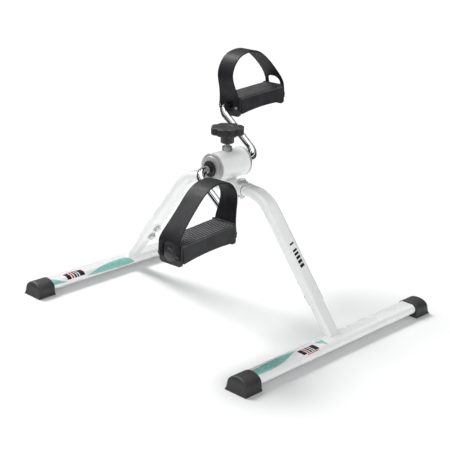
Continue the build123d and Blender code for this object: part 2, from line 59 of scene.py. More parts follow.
MM = 0.001
NODES = frame["nodes"]

# ---- sizes and places in millimetres; the knob's collar reaches lower than the CAD's ----
BAR_LENGTH, BAR_SPACING, BAR_MIDDLE = 400.0, 437.0, 12.5
BAR_WIDTH, BAR_HEIGHT, BAR_WALL = 30.0, 15.0, 1.5
CAP_LENGTH, CAP_HEIGHT, CAP_BASE, CAP_TOP, CAP_LIP = 31.5, 22.9, 38.2, 34.4, 1.6
HUB_HEIGHT, HUB_RADIUS, HUB_LENGTH, HUB_WALL = 220.5, 21.5, 56.0, 2.0
SLANT = math.radians(38.4)
LEG_WIDTH, LEG_DEPTH, LEG_WALL, LEG_END, LEG_BEND = 27.0, 14.0, 1.4, 58.4, 50.0
LEG_REACH, LEG_REACH_HEIGHT = 196.0, 40.0
STUB_WIDTH, STUB_DEPTH = 24.0, 11.0
LEG_BOLT_HEIGHTS = (69.3, 85.9)
SLEEVE_TOP, SLEEVE_DEPTH, SLEEVE_BOLT_REACH = 200.0, 17.0, 31.5
SLEEVE_MIDDLE = SLEEVE_TOP - SLEEVE_DEPTH / 2
HEX_FLATS, HEAD_HEIGHT, NUT_HEIGHT, WASHER_THICKNESS = 10.0, 4.2, 5.2, 1.3
BOLT_RADIUS, BOLT_PITCH = 2.95, 1.0
ARM = math.radians(53.1)
SPLAY = math.radians(4.0)
ARM_PLANE, CRANK_OFFSET, ARM_LENGTH = 64.0, 1.0, 100.0
AXLE_LENGTH, ROD_RADIUS, ROD_BEND, ROD_CHAMFER = 129.5, 6.0, 19.0, 0.8
INNER_FACE, OUTER_FACE = 21.6, 130.1
KNOB_BASE, KNOB_TOP, COLLAR_BASE = 267.0, 278.0, 253.6
SIDES = {"near": -1, "far": 1}
BARS = {"front": -1, "rear": 1}


# ---------------------------------------------------------------- materials
def shader(name, dark, light, mottle, roughness, metallic=0.0, coat=0.0, coat_roughness=0.1, specular=0.5):
    """A Principled material whose colour drifts between two shades and whose roughness varies."""
    mat = bpy.data.materials.new(name)
    mat.use_nodes = True
    tree = mat.node_tree
    bsdf = tree.nodes["Principled BSDF"]
    bsdf.inputs["Metallic"].default_value = metallic
    bsdf.inputs["Coat Weight"].default_value = coat
    bsdf.inputs["Coat Roughness"].default_value = coat_roughness
    bsdf.inputs["Specular IOR Level"].default_value = specular
    place = tree.nodes.new("ShaderNodeTexCoord").outputs["Object"]
    spots = noise_node(tree, place, mottle, 4.0)
    ramp = tree.nodes.new("ShaderNodeValToRGB")
    for stop, position, colour in zip(ramp.color_ramp.elements, (0.32, 0.68), (dark, light)):
        stop.position = position
        stop.color = (*colour, 1.0)
    tree.links.new(spots, ramp.inputs["Fac"])
    tree.links.new(ramp.outputs["Color"], bsdf.inputs["Base Color"])
    sheen = noise_node(tree, place, mottle * 3.1, 3.0)
    spread = tree.nodes.new("ShaderNodeMapRange")
    for socket, value in zip(("From Min", "From Max", "To Min", "To Max"), (0.3, 0.7, *roughness)):
        spread.inputs[socket].default_value = value
    tree.links.new(sheen, spread.inputs["Value"])
    tree.links.new(spread.outputs["Result"], bsdf.inputs["Roughness"])
    return mat, tree, bsdf, place


def noise_node(tree, place, scale, detail):
    """The value of a noise texture with this many features per metre."""
    node = tree.nodes.new("ShaderNodeTexNoise")
    node.inputs["Scale"].default_value = scale
    node.inputs["Detail"].default_value = detail
    tree.links.new(place, node.inputs["Vector"])
    return node.outputs["Fac"]


def cell_node(tree, place, scale):
    """The distance value of a Voronoi texture, for pebbled plastic grain."""
    node = tree.nodes.new("ShaderNodeTexVoronoi")
    node.inputs["Scale"].default_value = scale
    tree.links.new(place, node.inputs["Vector"])
    return node.outputs["Distance"]


def bump(tree, bsdf, heights):
    """Adds bumps one on another: (value socket, strength, depth in metres)."""
    below = None
    for height, strength, depth in heights:
        node = tree.nodes.new("ShaderNodeBump")
        node.inputs["Strength"].default_value = strength
        node.inputs["Distance"].default_value = depth
        tree.links.new(height, node.inputs["Height"])
        if below:
            tree.links.new(below, node.inputs["Normal"])
        below = node.outputs["Normal"]
    tree.links.new(below, bsdf.inputs["Normal"])


def maths(tree, operation, *values):
    """A Math node; each value is a socket or a number."""
    node = tree.nodes.new("ShaderNodeMath")
    node.operation = operation
    for socket, value in zip(node.inputs, values):
        if isinstance(value, (int, float)):
            socket.default_value = value
        else:
            tree.links.new(value, socket)
    return node.outputs["Value"]


def split(tree, place):
    """The x, y and z of a place, as sockets."""
    node = tree.nodes.new("ShaderNodeSeparateXYZ")
    tree.links.new(place, node.inputs["Vector"])
    return node.outputs


def paint():
    """White powder coat: a faint waviness with a fine grain on it."""
    mat, tree, bsdf, place = shader("paint_white", (0.885, 0.89, 0.89), (0.925, 0.93, 0.925), 9.0,
                                    (0.20, 0.30), coat=0.35, coat_roughness=0.06)
    bump(tree, bsdf, [(noise_node(tree, place, 420.0, 2.0), 0.03, 0.0003),
                      (noise_node(tree, place, 1500.0, 2.0), 0.03, 0.0001)])
    return mat


def weld_paint():
    """The paint over a weld's rougher skin."""
    mat, tree, bsdf, place = shader("paint_white_over_weld", (0.80, 0.805, 0.80), (0.90, 0.905, 0.90),
                                    160.0, (0.24, 0.38), coat=0.3)
    bump(tree, bsdf, [(noise_node(tree, place, 700.0, 3.0), 0.3, 0.0006)])
    return mat


def moulded(name, dark, light, roughness, grain, strength, specular=0.5):
    """Moulded rubber, plastic or felt: slightly uneven, with a pebbled grain."""
    mat, tree, bsdf, place = shader(name, dark, light, 45.0, roughness, specular=specular)
    bump(tree, bsdf, [(noise_node(tree, place, 60.0, 3.0), 0.12, 0.0012),
                      (cell_node(tree, place, grain), strength, 0.0003)])
    return mat


def rib_plastic(name, dark, light, roughness):
    """The tread's plastic, pipped along the ribs so that each carries a row of short teeth."""
    mat, tree, bsdf, place = shader(name, dark, light, 60.0, roughness)
    tooth_spacing = 0.0034
    along, _, _ = split(tree, place)
    teeth = maths(tree, "SINE", maths(tree, "MULTIPLY", along, 2 * math.pi / tooth_spacing))
    bump(tree, bsdf, [(teeth, 0.5, 0.0006), (cell_node(tree, place, 1900.0), 0.25, 0.0003)])
    return mat


def chrome():
    """Polished chrome plate on a very slightly uneven rod."""
    mat, tree, bsdf, place = shader("chrome_plate", (0.70, 0.71, 0.73), (0.80, 0.81, 0.82), 22.0,
                                    (0.035, 0.075), metallic=1.0)
    bump(tree, bsdf, [(noise_node(tree, place, 90.0, 2.0), 0.05, 0.0006)])
    return mat


def plated(name, dark, light, roughness, metallic):
    """Zinc plating or bare spring steel, finely grained."""
    mat, tree, bsdf, place = shader(name, dark, light, 70.0, roughness, metallic=metallic)
    bump(tree, bsdf, [(noise_node(tree, place, 600.0, 3.0), 0.12, 0.0003)])
    return mat


def turned_zinc():
    """Zinc-plated steel with the fine rings a lathe leaves round the hub's axis."""
    mat, tree, bsdf, place = shader("zinc_turned", (0.44, 0.44, 0.43), (0.58, 0.58, 0.565), 55.0,
                                    (0.28, 0.40), metallic=0.45)
    ring_spacing = 0.00062
    _, y, z = split(tree, place)
    rise = maths(tree, "SUBTRACT", z, HUB_HEIGHT * MM)
    squares = maths(tree, "ADD", maths(tree, "MULTIPLY", y, y), maths(tree, "MULTIPLY", rise, rise))
    radius = maths(tree, "SQRT", squares)
    rings = maths(tree, "SINE", maths(tree, "MULTIPLY", radius, 2 * math.pi / ring_spacing))
    bump(tree, bsdf, [(rings, 0.22, 0.00012), (noise_node(tree, place, 500.0, 3.0), 0.12, 0.0003)])
    return mat


def print_ink(name, dark, light):
    """Screen-printed ink under the same gloss as the paint."""
    mat, tree, bsdf, place = shader(name, dark, light, 90.0, (0.22, 0.32), coat=0.3, coat_roughness=0.08)
    bump(tree, bsdf, [(noise_node(tree, place, 900.0, 2.0), 0.06, 0.0002)])
    return mat


PAINT = paint()
WELD = weld_paint()
RUBBER = moulded("rubber_cap", (0.020, 0.020, 0.021), (0.036, 0.036, 0.038), (0.46, 0.60), 1500.0, 0.22)
PLASTIC = moulded("plastic_pedal", (0.017, 0.017, 0.019), (0.034, 0.034, 0.037), (0.36, 0.50), 2100.0, 0.2,
                  specular=0.4)
# painted highlight: the rib tops and the tread's top edge are made lighter than the body's plastic, standing
# in for the light falling on them
RIB_TOP_PAINTED_HIGHLIGHT = rib_plastic("plastic_rib_top_painted_highlight", (0.06, 0.06, 0.064), (0.11, 0.11, 0.116), (0.36, 0.50))
# painted shade: the floor between the ribs is made near black and barely glossy, standing in for the shade in
# the grooves
GROOVE_PAINTED_SHADE = moulded("plastic_groove_painted_shade", (0.003, 0.003, 0.003), (0.006, 0.006, 0.006), (0.7, 0.85), 1900.0, 0.2,
                 specular=0.08)
STRAP = moulded("strap_moulding", (0.011, 0.011, 0.013), (0.022, 0.022, 0.025), (0.40, 0.54), 1700.0, 0.14,
                specular=0.16)
KNOB = moulded("plastic_knob", (0.016, 0.016, 0.017), (0.032, 0.032, 0.034), (0.38, 0.52), 1300.0, 0.3)
GLOSS = moulded("plastic_gloss", (0.022, 0.022, 0.024), (0.040, 0.040, 0.043), (0.30, 0.40), 2600.0, 0.05)
BUSH = moulded("plastic_bearing", (0.010, 0.010, 0.011), (0.022, 0.022, 0.023), (0.38, 0.5), 2400.0, 0.12)
FELT = moulded("friction_felt", (0.05, 0.04, 0.035), (0.11, 0.09, 0.08), (0.8, 0.95), 900.0, 0.6)
NYLON = moulded("nylon_natural", (0.62, 0.60, 0.52), (0.74, 0.72, 0.65), (0.35, 0.5), 1800.0, 0.1)
CHROME = chrome()
ZINC = plated("zinc_bright", (0.60, 0.605, 0.60), (0.76, 0.765, 0.76), (0.20, 0.32), 0.85)
SPRING = plated("steel_spring", (0.22, 0.22, 0.23), (0.40, 0.40, 0.41), (0.3, 0.45), 0.75)
TURNED = turned_zinc()
TEAL = print_ink("ink_teal", (0.255, 0.58, 0.515), (0.27, 0.595, 0.53))
# dark ink for the printed marks, also used as painted shade for the band at each sleeve's mouth
BLACK_INK_AND_PAINTED_SHADE = moulded("ink_dark_and_painted_shade", (0.006, 0.006, 0.006), (0.012, 0.012, 0.012), (0.4, 0.5), 2500.0, 0.05,
                    specular=0.25)
RED_INK = print_ink("ink_red", (0.50, 0.03, 0.05), (0.62, 0.05, 0.07))


# ---------------------------------------------------------------- mesh tools
def add_piece(name, bm, mat, body, stands_for=(), local=None, bevel=None, solid=None):
    """Makes the object from a mesh in millimetres and ties it to its CAD body.

    A bevel is (width, segments, smallest angle in degrees); solid is a sheet's thickness."""
    bmesh.ops.recalc_face_normals(bm, faces=bm.faces)
    if local is not None:
        bm.transform(local)
    bm.transform(Matrix.Scale(MM, 4))
    for face in bm.faces:
        face.smooth = True
    mesh = bpy.data.meshes.new(name)
    bm.to_mesh(mesh)
    bm.free()
    obj = bpy.data.objects.new(name, mesh)
    bpy.context.scene.collection.objects.link(obj)
    for one in mat if isinstance(mat, (list, tuple)) else [mat]:
        mesh.materials.append(one)
    if solid:
        mod = obj.modifiers.new("thickness", "SOLIDIFY")
        mod.thickness = solid * MM
        mod.offset = 0.0
        mod.use_even_offset = True
    if bevel:
        width, segments, angle = bevel
        mod = obj.modifiers.new("edges", "BEVEL")
        mod.width = width * MM
        mod.segments = segments
        mod.limit_method = "ANGLE"
        mod.angle_limit = math.radians(angle)
        mod.miter_outer = "MITER_ARC"
        mod.use_clamp_overlap = True
        mod.harden_normals = False
    if bevel or solid:
        mod = obj.modifiers.new("shading", "WEIGHTED_NORMAL")
        mod.keep_sharp = True
        mod.weight = 60
    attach(obj, body)
    if stands_for:
        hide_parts(*stands_for)
    return obj


def refine(node, name, mat, body, bevel=(0.35, 2, 32), local=None, pick=None):
    """A CAD shape taken over whole, its flat faces rejoined and its edges given a real radius.

    With local and pick given, pick(face) chooses each face's material in the piece's own frame."""
    bm = bmesh.new()
    bm.from_mesh(NODES[node].data)
    bm.transform(Matrix.Scale(1 / MM, 4))
    if local is not None:
        bm.transform(local.inverted())
    bmesh.ops.remove_doubles(bm, verts=bm.verts, dist=0.002)
    bmesh.ops.dissolve_limit(bm, angle_limit=math.radians(1.0), verts=bm.verts, edges=bm.edges)
    for face in bm.faces:
        face.material_index = pick(face) if pick else 0
    return add_piece(name, bm, mat, body, [node], local=local, bevel=bevel)


def rings_mesh(rings, closed_tube=False):
    """Skins rings of equal point counts; each end is closed with one face, or the tube is joined up."""
    bm = bmesh.new()
    rows = [[bm.verts.new(p) for p in ring] for ring in rings]
    count = len(rows[0])
    pairs = list(zip(rows, rows[1:])) + ([(rows[-1], rows[0])] if closed_tube else [])
    for a, b in pairs:
        for i in range(count):
            j = (i + 1) % count
            bm.faces.new((a[i], a[j], b[j], b[i]))
    if not closed_tube:
        bm.faces.new(rows[0])
        bm.faces.new(rows[-1])
    return bm


def circle(radius, count):
    """Points round a circle, counterclockwise."""
    angles = (2 * math.pi * k / count for k in range(count))
    return [(radius * math.cos(a), radius * math.sin(a)) for a in angles]


def lathe(profile, place, segments=64, loop=True):
    """Turns (radius, height) points about the place's z axis.

    A loop is joined up like a washer; otherwise the first and last rings are filled in."""
    rings = []
    for radius, height in profile:
        rings.append([place @ Vector((x, y, height)) for x, y in circle(radius, segments)])
    return rings_mesh(rings, closed_tube=loop)


def axes(origin, x_dir, z_dir):
    """A frame at origin, millimetres, with these x and z directions."""
    z = Vector(z_dir).normalized()
    x = Vector(x_dir)
    x = (x - z * x.dot(z)).normalized()
    y = z.cross(x)
    made = Matrix((x, y, z)).transposed().to_4x4()
    made.translation = origin
    return made


def join(*meshes):
    """One bmesh out of several."""
    whole = bmesh.new()
    for part in meshes:
        scrap = bpy.data.meshes.new("scrap")
        part.to_mesh(scrap)
        part.free()
        whole.from_mesh(scrap)
        bpy.data.meshes.remove(scrap)
    return whole


def fillet_path(points, radius, step):
    """Points along a polyline whose corners are rounded to one radius."""
    points = [Vector(p) for p in points]
    path = [points[0]]
    for before, corner, after in zip(points, points[1:], points[2:]):
        a, b = (before - corner).normalized(), (after - corner).normalized()
        half = math.acos(max(-1.0, min(1.0, a.dot(b)))) / 2
        reach = radius / math.tan(half)
        centre = corner + (a + b).normalized() * (radius / math.sin(half))
        start, end = corner + a * reach - centre, corner + b * reach - centre
        turn = math.pi - 2 * half
        count = max(2, round(turn * radius / step))
        for k in range(count + 1):
            t = k / count
            arm = (start * math.sin((1 - t) * turn) + end * math.sin(t * turn)) / math.sin(turn)
            path.append(centre + arm)
    path.append(points[-1])
    return path


def tube_rings(path, normal, section):
    """The section, (across, up) points, carried along a path; normal stays square to a flat path."""
    rings = []
    for k, point in enumerate(path):
        ahead = path[min(k + 1, len(path) - 1)] - path[max(k - 1, 0)]
        ahead.normalize()
        side = normal.cross(ahead).normalized()
        rings.append([point + side * a + normal * b for a, b in section])
    return rings


def stadium(width, height, per_end):
    """A flat-oval outline, counterclockwise, (across, up)."""
    r, flat = height / 2, (width - height) / 2
    points = []
    for sign, start in ((1, -math.pi / 2), (-1, math.pi / 2)):
        for k in range(per_end + 1):
            a = start + math.pi * k / per_end
            points.append((sign * flat + r * math.cos(a), r * math.sin(a)))
    return points


# ---------------------------------------------------------------- foot caps
def cap_outline():
    """The cap's section, counterclockwise from the foot's left corner: (across, up)."""
    half_top, half_base, shoulder = CAP_TOP / 2, CAP_BASE / 2, CAP_HEIGHT / 2
    right = [(half_base - 0.5, 0), (half_base, 0.5), (half_base, CAP_LIP), (half_top + 1.3, CAP_LIP + 0.55),
             (half_top + 0.75, CAP_LIP + 1.2), (half_top + 0.35, 7.0), (half_top, shoulder)]
    arch = []
    for k in range(1, 24):
        a = math.pi * k / 24
        arch.append((half_top * math.cos(a), shoulder + (CAP_HEIGHT - shoulder) * math.sin(a)))
    left = [(-x, z) for x, z in reversed(right)]
    floor = [(x, 0.0) for x in (-12.0, -5.0, 5.0, 12.0)]
    return floor[2:] + right + arch + left + floor[:2]


def inset_outline(points, amount):
    """Moves each point inwards along its own normal, kept above the floor line."""
    moved = []
    count = len(points)
    for i, (x, z) in enumerate(points):
        (ax, az), (bx, bz) = points[i - 1], points[(i + 1) % count]
        tx, tz = bx - ax, bz - az
        length = math.hypot(tx, tz) or 1.0
        d = amount(z) if callable(amount) else amount
        moved.append((x - tz / length * d, z + tx / length * d if z > 0.01 else z + min(d, 0.5)))
    return moved


def stadium_hit(x, z, width, height):
    """Where a ray from the oval's middle through (x, z) meets a flat oval."""
    lo, hi = 0.0, 60.0
    length = math.hypot(x, z) or 1.0
    ux, uz = x / length, z / length
    r, flat = height / 2, (width - height) / 2
    for _ in range(40):
        mid = (lo + hi) / 2
        px, pz = ux * mid, uz * mid
        if math.hypot(max(abs(px) - flat, 0.0), pz) < r:
            lo = mid
        else:
            hi = mid
    return ux * lo, uz * lo


def foot_cap(side, end):
    """A moulded cap: a flared foot, an arched back, a leaning end face and soft edges."""
    open_x = BAR_LENGTH / 2 - CAP_LENGTH
    outline = cap_outline()
    lean_z = (0, CAP_LIP, CAP_LIP + 1.2, CAP_HEIGHT - 3.4, CAP_HEIGHT)
    lean_x = (0, 0, -0.9, -2.3, -3.4)

    def tip(z):
        return BAR_LENGTH / 2 + float(np.interp(z, lean_z, lean_x))

    def soften(z):
        return float(np.interp(z, (0, 2.8, 8.0, 17.0, CAP_HEIGHT), (0.5, 0.7, 1.6, 2.6, 3.6)))

    def ring(points, x_of):
        return [Vector((end * x_of(z), side * BAR_SPACING / 2 + end * x, z)) for x, z in points]

    rings = []
    pocket = [stadium_hit(x, z - BAR_MIDDLE, BAR_WIDTH + 0.3, BAR_HEIGHT + 0.3) for x, z in outline]
    pocket = [(x, z + BAR_MIDDLE) for x, z in pocket]
    rings.append(ring(pocket, lambda z: BAR_LENGTH / 2 - 4.0))
    rings.append(ring(pocket, lambda z: open_x + 0.5))
    mouth = [(x * 1.01, BAR_MIDDLE + (z - BAR_MIDDLE) * 1.02) for x, z in pocket]
    rings.append(ring(mouth, lambda z: open_x))
    for inset, back in ((0.9, 0.0), (0.35, 0.12), (0.08, 0.4), (0.0, 0.9)):
        rings.append(ring(inset_outline(outline, inset), lambda z, back=back: open_x + back))
    for share in (0.35, 0.7):
        rings.append(ring(outline, lambda z, share=share: open_x + (tip(z) - 4 - open_x) * share))
    for k in range(7):
        a = math.pi / 2 * k / 6
        points = inset_outline(outline, lambda z, a=a: soften(z) * (1 - math.cos(a)))
        rounded = []
        for (x, z), (_, level) in zip(points, outline):
            reach = tip(level) - soften(level) * (1 - math.sin(a))
            rounded.append(Vector((end * reach, side * BAR_SPACING / 2 + end * x, z)))
        rings.append(rounded)
    last = inset_outline(outline, soften)
    for share in (0.94, 0.6, 0.25):
        points = [(x * share, 9.5 + (z - 9.5) * share) for x, z in last]
        rings.append(ring(points, lambda z: tip(z) - (0.35 if share < 0.94 else 0.0)))
    return rings_mesh(rings)


for bar, side in BARS.items():
    for end_name, end in SIDES.items():
        add_piece(f"cap_moulding_{bar}_{end_name}", foot_cap(side, end), RUBBER, "frame",
                  [f"foot_cap_{bar}_{end_name}"])


# ---------------------------------------------------------------- painted tubes and their welds
def leg_axis(side, height):
    """A point on a leg's straight centre line."""
    return Vector((0, side * (LEG_REACH - (height - LEG_REACH_HEIGHT) * math.tan(SLANT)), height))


def hub_axis(side):
    """A frame in the middle of the hub, z along its axis towards this side."""
    return axes((0, 0, HUB_HEIGHT), (0, 1, 0), (side, 0, 0))


def painted_tube(node, path, normal, outer, inner):
    """A hollow painted tube: the outer wall, then back along the inner one."""
    rings = tube_rings(path, normal, outer) + tube_rings(path, normal, inner)[::-1]
    add_piece(f"{node}_painted", rings_mesh(rings, closed_tube=True), PAINT, "frame", [node],
              bevel=(0.3, 2, 50))


def flipped(section):
    """The section with across and up exchanged."""
    return [(b, a) for a, b in section]


def floor_bar(bar, side):
    """A straight flat-oval tube, lying flat."""
    low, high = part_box(f"floor_bar_{bar}")
    start, length = low[0] / MM, (high[0] - low[0]) / MM
    path = [Vector((start + length * k / 40, side * BAR_SPACING / 2, BAR_MIDDLE)) for k in range(41)]
    painted_tube(f"floor_bar_{bar}", path, Vector((0, 0, 1)), stadium(BAR_WIDTH, BAR_HEIGHT, 20),
                 stadium(BAR_WIDTH - 2 * BAR_WALL, BAR_HEIGHT - 2 * BAR_WALL, 20))


def leg(bar, side):
    """A flat-oval tube from inside the sleeve, round one bend and down over the stub."""
    low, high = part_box(f"leg_{bar}")
    inner_end = Vector((0, (low[1] if side > 0 else high[1]) / MM, SLEEVE_MIDDLE))
    path = fillet_path([inner_end, leg_axis(side, SLEEVE_MIDDLE), leg_axis(side, LEG_END)], LEG_BEND, 2.0)
    painted_tube(f"leg_{bar}", path, Vector((1, 0, 0)), flipped(stadium(LEG_WIDTH, LEG_DEPTH, 20)),
                 flipped(stadium(LEG_WIDTH - 2 * LEG_WALL, LEG_DEPTH - 2 * LEG_WALL, 20)))


def hub_shell():
    """A plain tube with softened rims; the weld nut covers the place of the screw's hole."""
    half, rim = HUB_LENGTH / 2, 0.3
    profile = [(HUB_RADIUS - HUB_WALL, -half), (HUB_RADIUS - rim, -half), (HUB_RADIUS, rim - half),
               (HUB_RADIUS, -9.0), (HUB_RADIUS, 9.0),
               (HUB_RADIUS, half - rim), (HUB_RADIUS - rim, half), (HUB_RADIUS - HUB_WALL, half)]
    add_piece("hub_shell_painted", lathe(profile, hub_axis(1), 96), PAINT, "frame",
              ["hub_shell"], bevel=(0.15, 2, 50))


for node in ("leg_stub_front", "leg_stub_rear", "centre_sleeve"):
    refine(node, f"{node}_painted", PAINT, "frame", bevel=(0.3, 2, 38))
for bar, side in BARS.items():
    floor_bar(bar, side)
    leg(bar, side)
hub_shell()


def bead(path, closed):
    """A weld bead: a rippled rod laid along a path, thinning towards open ends."""
    radius, ripple_length = 1.5, 2.1
    rings = []
    count = len(path)
    travelled = 0.0
    for k, point in enumerate(path):
        if closed:
            ahead = path[(k + 1) % count] - path[k - 1]
        else:
            ahead = path[min(k + 1, count - 1)] - path[max(k - 1, 0)]
        travelled += (point - path[k - 1]).length if k else 0.0
        ahead.normalize()
        across = ahead.cross(Vector((0, 0, 1))).normalized()
        top = across.cross(ahead).normalized()
        ripple = 0.10 * math.sin(travelled * 2 * math.pi / ripple_length)
        drift = 0.05 * math.sin(travelled * 0.7 + 1)
        size = radius * (1 + ripple + drift)
        if not closed:
            size *= min(1.0, 0.35 + 0.3 * min(k, count - 1 - k))
        rings.append([point + across * a + top * b for a, b in circle(size, 12)])
    return rings_mesh(rings, closed_tube=closed)


def stub_seam(side):
    """Where the stub meets the bar's rounded top: points of its outline, slid down to the bar."""
    up_leg = Vector((0, -side * math.sin(SLANT), math.cos(SLANT)))
    across = Vector((0, math.cos(SLANT), side * math.sin(SLANT)))
    foot = leg_axis(side, 20.0)
    end_radius = BAR_HEIGHT / 2
    path = []
    for a, b in stadium(STUB_WIDTH, STUB_DEPTH, 40):
        start = foot + Vector((a, 0, 0)) + across * b + up_leg * 25
        for step in range(600):
            point = start - up_leg * (step * 0.1)
            over = max(abs(point.y - side * BAR_SPACING / 2) - (BAR_WIDTH - BAR_HEIGHT) / 2, 0)
            if over <= end_radius and point.z <= BAR_MIDDLE + math.sqrt(end_radius ** 2 - over ** 2):
                break
        path.append(point)
    return path


for bar, side in BARS.items():
    add_piece(f"weld_bead_stub_{bar}", bead(stub_seam(side), True), WELD, "frame")
for bar, side in BARS.items():
    path = [Vector((x * 0.5, side * 7.2, SLEEVE_TOP - 0.3)) for x in range(-26, 27)]
    add_piece(f"weld_bead_hub_{bar}", bead(path, False), WELD, "frame")


# ---------------------------------------------------------------- hardware
def hex_radius(angle, flats):
    """The hexagon's reach from its middle in this direction."""
    return flats / 2 / math.cos((angle + math.pi / 6) % (math.pi / 3) - math.pi / 6)


def hex_head(place, flats, height, chamfer_foot=False, turn=0.0, bore=None):
    """A hex head or nut whose corners are cut back by a 28 degree chamfer."""
    count = 72
    flat_circle = flats / 2 * 0.96
    fall = math.tan(math.radians(28))

    def ring(radius_of, z_of):
        out = []
        for k in range(count):
            a = 2 * math.pi * k / count
            r = radius_of(a)
            out.append(place @ Vector((r * math.cos(a + turn), r * math.sin(a + turn), z_of(r))))
        return out

    def corner(a):
        return hex_radius(a, flats) - 0.02

    def top(r):
        return height - max(0.0, r - flat_circle) * fall

    def foot(r):
        return max(0.0, r - flat_circle) * fall if chamfer_foot else 0.0

    rings = [ring(lambda a: flat_circle, foot), ring(corner, foot), ring(corner, top),
             ring(lambda a: flat_circle, lambda r: height)]
    if bore:
        rings.append(ring(lambda a: bore + 0.5, lambda r: height))
        rings.append(ring(lambda a: bore, lambda r: height - 0.5))
        rings.append(ring(lambda a: bore, lambda r: 0.0))
        return rings_mesh(rings, closed_tube=True)
    rings.append(ring(lambda a: flat_circle * 0.55, lambda r: height - 0.25))
    return rings_mesh(rings)


def washer(place, radius):
    """An M6 washer with a rounded rim."""
    rim, bore, top = 0.3, 3.2, WASHER_THICKNESS
    return lathe([(bore, 0.0), (radius - rim, 0.0), (radius, rim), (radius, top - rim), (radius - rim, top),
                  (bore + 0.2, top), (bore, top - 0.2)], place)


def threaded(place, radius, start, end, pitch, depth, segments=40, rows_per_turn=8):
    """A rod with a rolled helical thread and chamfered ends."""
    rings = []
    step = pitch / rows_per_turn
    count = int((end - start) / step)
    for i in range(count + 1):
        z = start + (end - start) * i / count
        taper = min(1.0, 0.75 + min(z - start, end - z) / 1.2 * 0.25)
        ring = []
        for k in range(segments):
            a = 2 * math.pi * k / segments
            phase = (z / pitch - k / segments) % 1.0
            r = (radius - depth * abs(2 * phase - 1)) * taper
            ring.append(place @ Vector((r * math.cos(a), r * math.sin(a), z)))
        rings.append(ring)
    return rings_mesh(rings)


def bolt(place, length, depth, turn=0.0):
    """An M6 hex bolt's head, on its washer, and its shank with threads of this depth."""
    seat = place @ Matrix.Translation((0, 0, WASHER_THICKNESS))
    return [hex_head(seat, HEX_FLATS, HEAD_HEIGHT, turn=turn),
            threaded(place, BOLT_RADIUS, -length, 1.4, BOLT_PITCH, depth, segments=24, rows_per_turn=6)]


def leg_bolts():
    """Four bolts with their washers on the legs' inner faces."""
    bolts, washers = [], []
    for side in BARS.values():
        inward = Vector((0, -side * math.cos(SLANT), -math.sin(SLANT)))
        for height in LEG_BOLT_HEIGHTS:
            place = axes(leg_axis(side, height) + inward * (LEG_DEPTH / 2), (1, 0, 0), inward)
            bolts += bolt(place, 10.0, 0.5, turn=0.4 + 1.9 * len(washers))
            washers.append(washer(place, 7.0))
    add_piece("leg_bolt_set", join(*bolts), ZINC, "frame", ["leg_bolts"], bevel=(0.12, 1, 50))
    add_piece("leg_washer_set", join(*washers), ZINC, "frame", ["leg_bolt_washers"])


def painted_sleeve_shades():
    """A black band round each leg where it enters the sleeve: painted shade standing in for the shaded gap at
    the sleeve's mouth.
    """
    for bar, side in BARS.items():
        section = stadium(LEG_WIDTH + 0.5, LEG_DEPTH + 0.5, 20)
        seam = [[Vector((a, side * y, SLEEVE_MIDDLE + b)) for a, b in section] for y in (41.0, 41.8)]
        add_piece(f"sleeve_mouth_painted_shade_{bar}", rings_mesh(seam), BLACK_INK_AND_PAINTED_SHADE, "frame")


def sleeve_bolts():
    """A bolt, washer and nut through each end of the sleeve."""
    bolts, washers, nuts = [], [], []
    for y in (-SLEEVE_BOLT_REACH, SLEEVE_BOLT_REACH):
        top = axes((0, y, SLEEVE_TOP), (1, 0, 0), (0, 0, 1))
        under = axes((0, y, SLEEVE_TOP - SLEEVE_DEPTH - NUT_HEIGHT), (1, 0, 0), (0, 0, 1))
        bolts += bolt(top, 24.2, 0.45)
        washers.append(washer(top, 8.6))
        nuts.append(hex_head(under, HEX_FLATS, NUT_HEIGHT, chamfer_foot=True, bore=2.55))
    add_piece("sleeve_bolt_set", join(*bolts), ZINC, "frame", ["sleeve_bolts"],
              bevel=(0.12, 1, 50))
    add_piece("sleeve_washer_set", join(*washers), ZINC, "frame", ["sleeve_bolt_washers"])
    add_piece("sleeve_nut_set", join(*nuts), ZINC, "frame", ["sleeve_nuts"])


def tension_stud():
    """The knob's M8 screw."""
    upright = axes((0, 0, 0), (1, 0, 0), (0, 0, 1))
    stud = threaded(upright, 3.92, 234.75, 273.9, 1.25, 0.55)
    add_piece("tension_stud", stud, ZINC, "knob", ["tension_screw"])


# (radius, distance out from the hub's middle)
DISC_PROFILE = [(9.0, 22.2), (19.0, 22.2), (19.3, 22.5), (19.3, 28.0), (21.3, 28.0), (21.9, 28.6),
                (21.9, 30.9), (21.3, 31.5), (19.0, 31.5), (18.6, 31.7), (18.4, 32.1), (18.4, 33.9),
                (17.8, 34.5), (16.6, 34.5), (16.2, 34.1), (15.4, 34.1), (15.0, 34.5), (12.6, 34.5),
                (9.4, 34.5), (9.0, 34.1)]
BEARING_PROFILE = [(6.1, 22.4), (8.9, 22.4), (8.95, 34.5), (11.7, 34.55), (12.2, 35.0), (12.2, 35.5),
                   (11.7, 36.0), (9.4, 36.0), (9.0, 35.75), (6.6, 35.75), (6.1, 35.3)]


def hub_end(name, side):
    """The stepped disc and the flanged bearing in one end of the hub."""
    disc = lathe(DISC_PROFILE, hub_axis(side), 96)
    add_piece(f"hub_end_disc_{name}", disc, TURNED, "frame", [f"hub_disc_{name}"],
              bevel=(0.12, 2, 30))
    bearing = lathe(BEARING_PROFILE, hub_axis(side), 72)
    add_piece(f"bearing_{name}", bearing, BUSH, "frame", [f"crank_bush_{name}"],
              bevel=(0.12, 2, 30))


leg_bolts()
painted_sleeve_shades()
sleeve_bolts()
NODES["leg_weld_nuts"].data.materials[0] = ZINC
refine("tension_weld_nut", "weld_nut_m8", ZINC, "frame", bevel=(0.4, 2, 32))
tension_stud()
for name, side in SIDES.items():
    hub_end(name, side)

refine("brake_shoe", "friction_shoe", FELT, "shoe", bevel=(0.25, 1, 40))
refine("friction_drum", "drum_sleeve", NYLON, "crank", bevel=(0.3, 2, 40))


